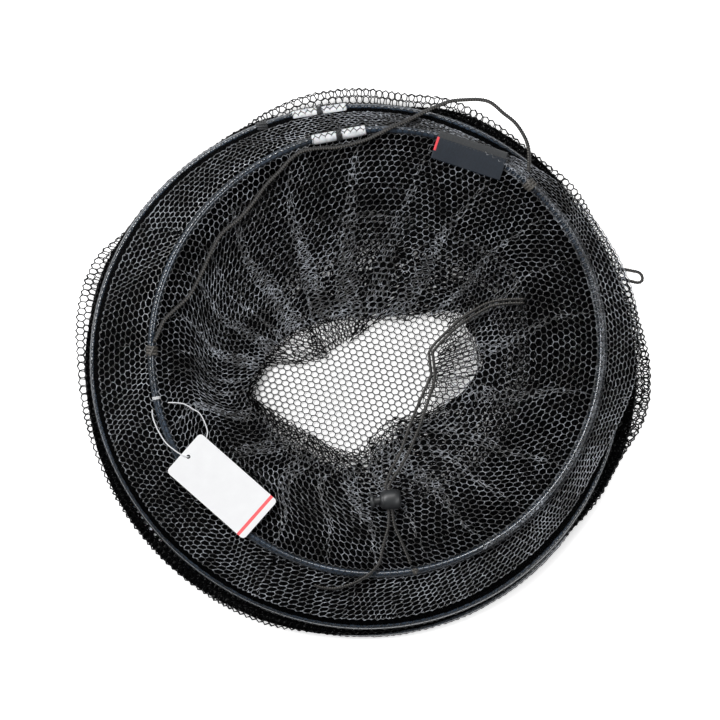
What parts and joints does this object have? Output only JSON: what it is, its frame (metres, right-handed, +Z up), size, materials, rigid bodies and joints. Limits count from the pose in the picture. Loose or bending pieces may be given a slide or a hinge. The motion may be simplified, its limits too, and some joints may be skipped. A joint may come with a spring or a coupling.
{
  "type": "fishing keepnet",
  "caption": "Round fishing keepnet packed flat: hoops, folded net sections, gathered mouth with drawcord and spring cord lock.",
  "frame": {"origin": "centre of the packed net's box, on the surface it lies on", "axes": "+Z up through the hoops, +X to the right and +Y away as the net lies with its mouth up"},
  "size_m": [0.3797, 0.363, 0.0285],
  "materials": {
    "tube_plastic": "blue-grey plastic tube, satin gloss",
    "spring_steel": "drawn steel wire",
    "white_plastic": "white plastic, satin",
    "black_net": "knotless black mesh",
    "black_cord": "braided black cord",
    "black_twine": "black whipping twine",
    "lock_plastic": "charcoal moulded plastic",
    "label_cloth": "woven satin, navy black, bare",
    "white_card": "white card with a plain red stripe",
    "white_thread": "white thread"
  },
  "bodies": {
    "base": {"base_hoop_tube": "tube_plastic", "base_hoop_wire": "spring_steel", "base_hoop_sleeve": "white_plastic", "base_sleeve_tie": "black_twine", "base_net_panel": "black_net", "lower_net": "black_net"},
    "middle": {"middle_hoop_tube": "tube_plastic", "middle_hoop_wire": "spring_steel", "middle_hoop_sleeve": "white_plastic", "middle_sleeve_tie": "black_twine", "upper_net": "black_net", "seam_knot": "black_twine", "hang_loop": "black_cord"},
    "mouth": {"mouth_hoop_tube": "tube_plastic", "mouth_hoop_wire": "spring_steel", "mouth_hoop_sleeve": "white_plastic", "mouth_sleeve_tie": "black_twine", "collar_net": "black_net", "hem_cord": "black_cord", "drawcord_left": "black_cord", "drawcord_right": "black_cord", "drawcord_end_knot": "black_cord", "carry_cord": "black_cord", "carry_knot_left": "black_cord", "carry_knot_right": "black_cord", "label": "label_cloth", "tag_hitch": "white_thread"},
    "lock": {"lock_barrel": "lock_plastic", "lock_spring": "spring_steel"},
    "plunger": {"lock_plunger": "lock_plastic"},
    "tag": {"tag_card": "white_card", "tag_thread": "white_thread"}
  },
  "joints": [
    {"name": "middle_slide", "type": "slide", "parent": "base", "child": "middle", "axis": [0, 0, 1], "range_m": [0, 0.49], "deforming": ["lower_net"]},
    {"name": "mouth_slide", "type": "slide", "parent": "middle", "child": "mouth", "axis": [0, 0, 1], "range_m": [0, 0.49], "deforming": ["upper_net"]},
    {"name": "lock_slide", "type": "slide", "parent": "mouth", "child": "lock", "axis": [0.297, 0.9515, -0.08], "range_m": [0, 0.095], "deforming": ["drawcord_left", "drawcord_right"]},
    {"name": "plunger_press", "type": "slide", "parent": "lock", "child": "plunger", "axis": [0.9945, 0.1045, 0], "range_m": [0, 0.0025], "stiffness_N_per_m": 600, "springref_m": -0.002, "deforming": ["lock_spring"]},
    {"name": "tag_flip", "type": "hinge", "parent": "mouth", "child": "tag", "pos_m": [-0.1366, -0.02423, 0.0209], "axis": [-0.802, -0.5973, 0], "range_deg": [0, 150], "deforming": ["tag_thread"]}
  ]
}
